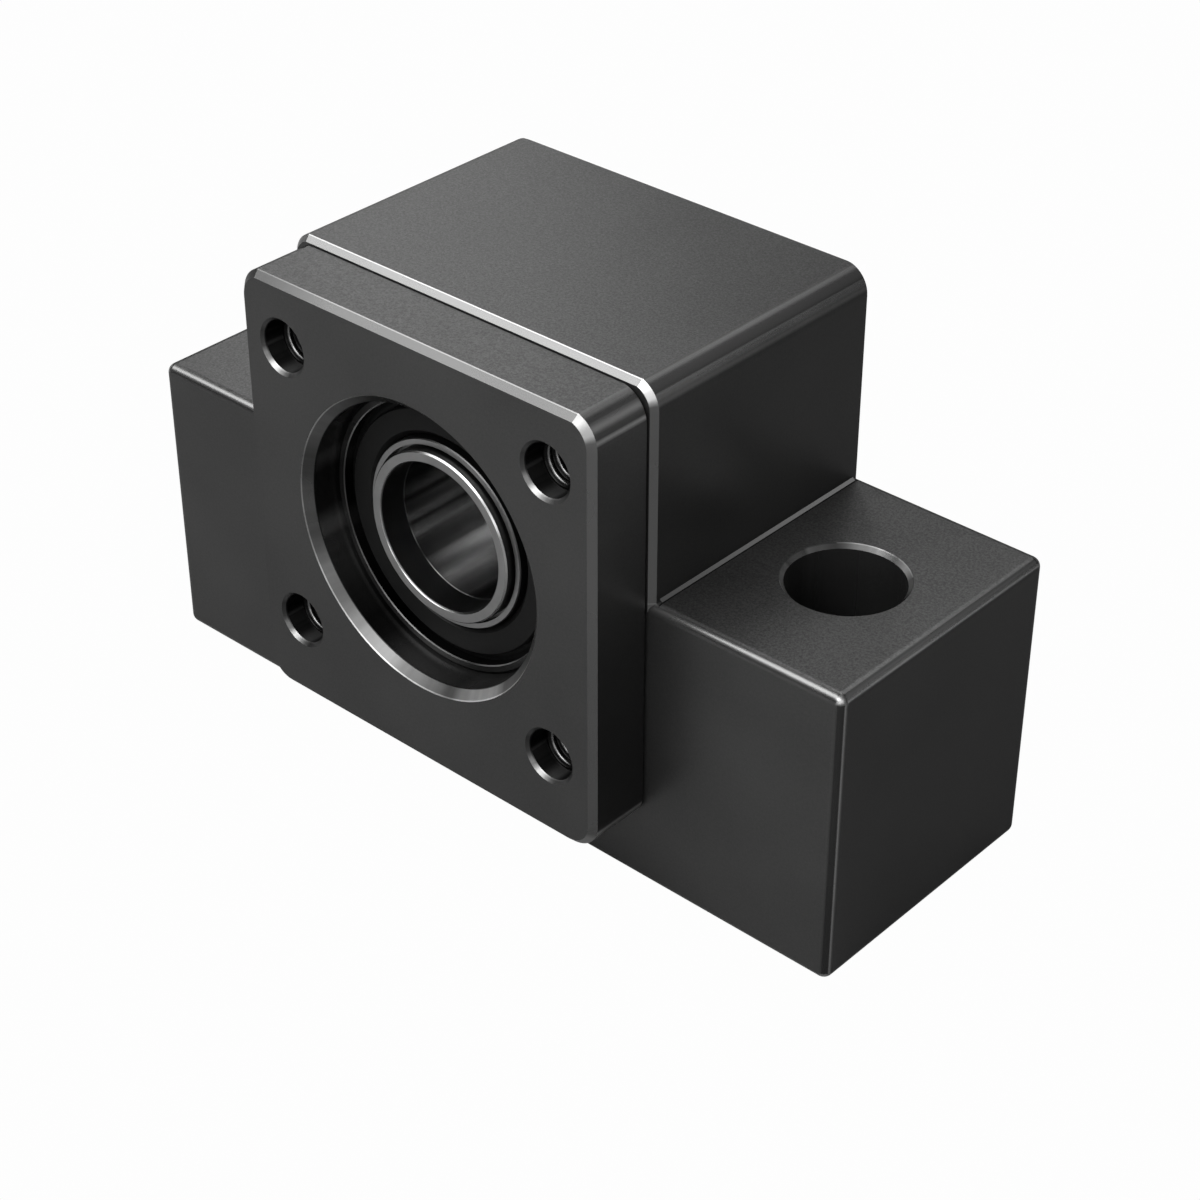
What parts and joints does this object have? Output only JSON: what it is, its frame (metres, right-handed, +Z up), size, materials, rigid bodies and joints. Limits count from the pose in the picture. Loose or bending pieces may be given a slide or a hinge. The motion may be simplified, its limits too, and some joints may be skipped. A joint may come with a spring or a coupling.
{
  "type": "ball screw end support",
  "caption": "Pedestal bearing support for a ball screw's fixed end: block housing with bolt-down wings, square retaining lid, sealed angular contact bearings and a turning collar.",
  "frame": {"origin": "on the base plane, midway between the two bolt holes of the wings", "axes": "+X across the wings, +Y along the shaft from the lid to the rear, +Z up from the base"},
  "size_m": [0.07, 0.0319, 0.043],
  "materials": {
    "black_steel": "black oxide over fine milled steel, satin",
    "seal_rubber": "matte moulded rubber",
    "collar_steel": "fine turned, satin",
    "bearing_steel": "ground and polished",
    "cage_plastic": "moulded"
  },
  "bodies": {
    "housing": {"housing": "black_steel", "retaining_lid": "black_steel", "front_seal": "seal_rubber", "rear_seal": "seal_rubber", "front_outer_ring": "bearing_steel", "rear_outer_ring": "bearing_steel"},
    "spindle": {"front_collar": "collar_steel", "rear_collar": "collar_steel", "front_inner_ring": "bearing_steel", "rear_inner_ring": "bearing_steel"},
    "front_ball_set": {"front_cage": "cage_plastic", "front_ball_01": "bearing_steel", "front_ball_02": "bearing_steel", "front_ball_03": "bearing_steel", "front_ball_04": "bearing_steel", "front_ball_05": "bearing_steel", "front_ball_06": "bearing_steel", "front_ball_07": "bearing_steel", "front_ball_08": "bearing_steel", "front_ball_09": "bearing_steel", "front_ball_10": "bearing_steel"},
    "rear_ball_set": {"rear_cage": "cage_plastic", "rear_ball_01": "bearing_steel", "rear_ball_02": "bearing_steel", "rear_ball_03": "bearing_steel", "rear_ball_04": "bearing_steel", "rear_ball_05": "bearing_steel", "rear_ball_06": "bearing_steel", "rear_ball_07": "bearing_steel", "rear_ball_08": "bearing_steel", "rear_ball_09": "bearing_steel", "rear_ball_10": "bearing_steel"}
  },
  "joints": [
    {"name": "spindle_spin", "type": "hinge", "parent": "housing", "child": "spindle", "pos_m": [0, 0, 0.025], "axis": [0, 1, 0], "continuous": true},
    {"name": "front_ball_orbit", "type": "hinge", "parent": "housing", "child": "front_ball_set", "pos_m": [0, -0.0068, 0.025], "axis": [0, 1, 0], "continuous": true},
    {"name": "rear_ball_orbit", "type": "hinge", "parent": "housing", "child": "rear_ball_set", "pos_m": [0, 0.0012, 0.025], "axis": [0, 1, 0], "continuous": true}
  ],
  "couplings": [
    {"joint": "front_ball_orbit", "follows": "spindle_spin", "ratio": 0.3969},
    {"joint": "rear_ball_orbit", "follows": "spindle_spin", "ratio": 0.3969}
  ]
}
